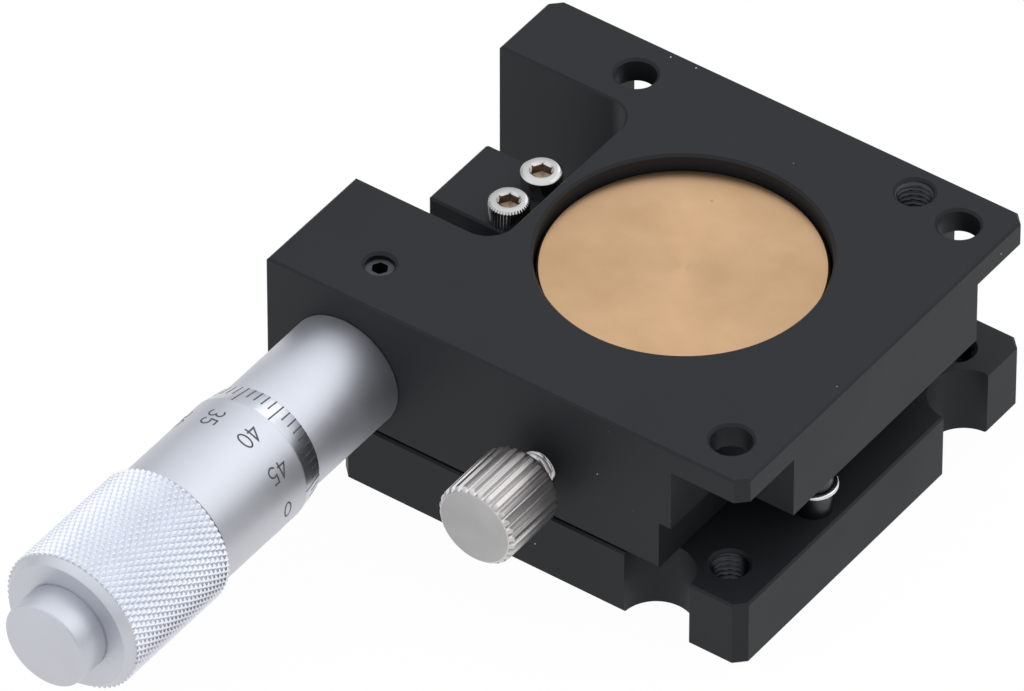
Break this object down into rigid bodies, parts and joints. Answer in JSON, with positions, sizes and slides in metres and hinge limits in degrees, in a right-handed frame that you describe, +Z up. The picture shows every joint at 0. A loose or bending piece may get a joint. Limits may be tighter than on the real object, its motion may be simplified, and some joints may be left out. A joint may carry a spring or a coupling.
{
  "type": "rotary goniometer stage",
  "caption": "Square black rotary stage: a platform turns a few degrees on a bronze hub, driven by a tangent micrometer against an anvil, with return spring and thumbscrew lock.",
  "frame": {"origin": "on the turning axis, in the plane of the base's underside", "axes": "+Z up along the turning axis, Y along the micrometer with the thimble towards -Y, +X away from the micrometer's side"},
  "size_m": [0.0734, 0.1258, 0.031],
  "materials": {
    "black_anodised": "matte black anodised",
    "bronze": "face-turned bronze",
    "satin_chrome": "satin chrome",
    "stainless": "turned stainless steel",
    "hard_steel": "ground hardened steel",
    "spring_steel": "bright spring wire",
    "black_steel": "black oxide steel",
    "polymer": "plain bearing polymer"
  },
  "bodies": {
    "base": {"base_plate": "black_anodised", "pivot_hub": "bronze", "hub_screws": "stainless", "lower_thrust_washer": "polymer", "upper_thrust_washer": "polymer", "anvil_block": "black_anodised", "anvil_pad": "hard_steel", "anvil_screw_front": "stainless", "anvil_screw_rear": "stainless", "base_spring_post": "black_steel", "return_spring": "spring_steel"},
    "platform": {"platform": "black_anodised", "platform_spring_post": "black_steel", "micrometer_sleeve": "satin_chrome", "adjusting_nut": "hard_steel", "sleeve_set_screw": "black_steel", "set_screw_pad": "polymer"},
    "spindle": {"spindle": "hard_steel", "spindle_ball": "hard_steel"},
    "thimble": {"thimble": "satin_chrome", "drive_nut": "bronze", "thimble_grip": "satin_chrome", "thimble_cap": "satin_chrome"},
    "lock_pad": {"lock_pad": "bronze"},
    "lock_knob": {"lock_screw": "stainless", "lock_knob": "stainless"}
  },
  "joints": [
    {"name": "platform_turn", "type": "hinge", "parent": "base", "child": "platform", "pos_m": [0, 0, 0.0185], "axis": [0, 0, 1], "range_deg": [-5, 5], "deforming": ["return_spring"]},
    {"name": "spindle_feed", "type": "slide", "parent": "platform", "child": "spindle", "axis": [0, 1, 0], "range_m": [-0.0025, 0.0025]},
    {"name": "thimble_turn", "type": "hinge", "parent": "spindle", "child": "thimble", "pos_m": [-0.03, -0.06, 0.0185], "axis": [0, 1, 0], "range_deg": [-1890, 1890]},
    {"name": "lock_feed", "type": "slide", "parent": "platform", "child": "lock_pad", "axis": [0, 1, 0], "range_m": [-0.0008, 0.0002]},
    {"name": "lock_turn", "type": "hinge", "parent": "lock_pad", "child": "lock_knob", "pos_m": [0, -0.04, 0.0177], "axis": [0, 1, 0], "range_deg": [-400, 120]}
  ],
  "couplings": [
    {"joint": "platform_turn", "follows": "spindle_feed", "rad_per_m": 33.333},
    {"joint": "thimble_turn", "follows": "spindle_feed", "rad_per_m": 12566},
    {"joint": "lock_turn", "follows": "lock_feed", "rad_per_m": 7854}
  ]
}
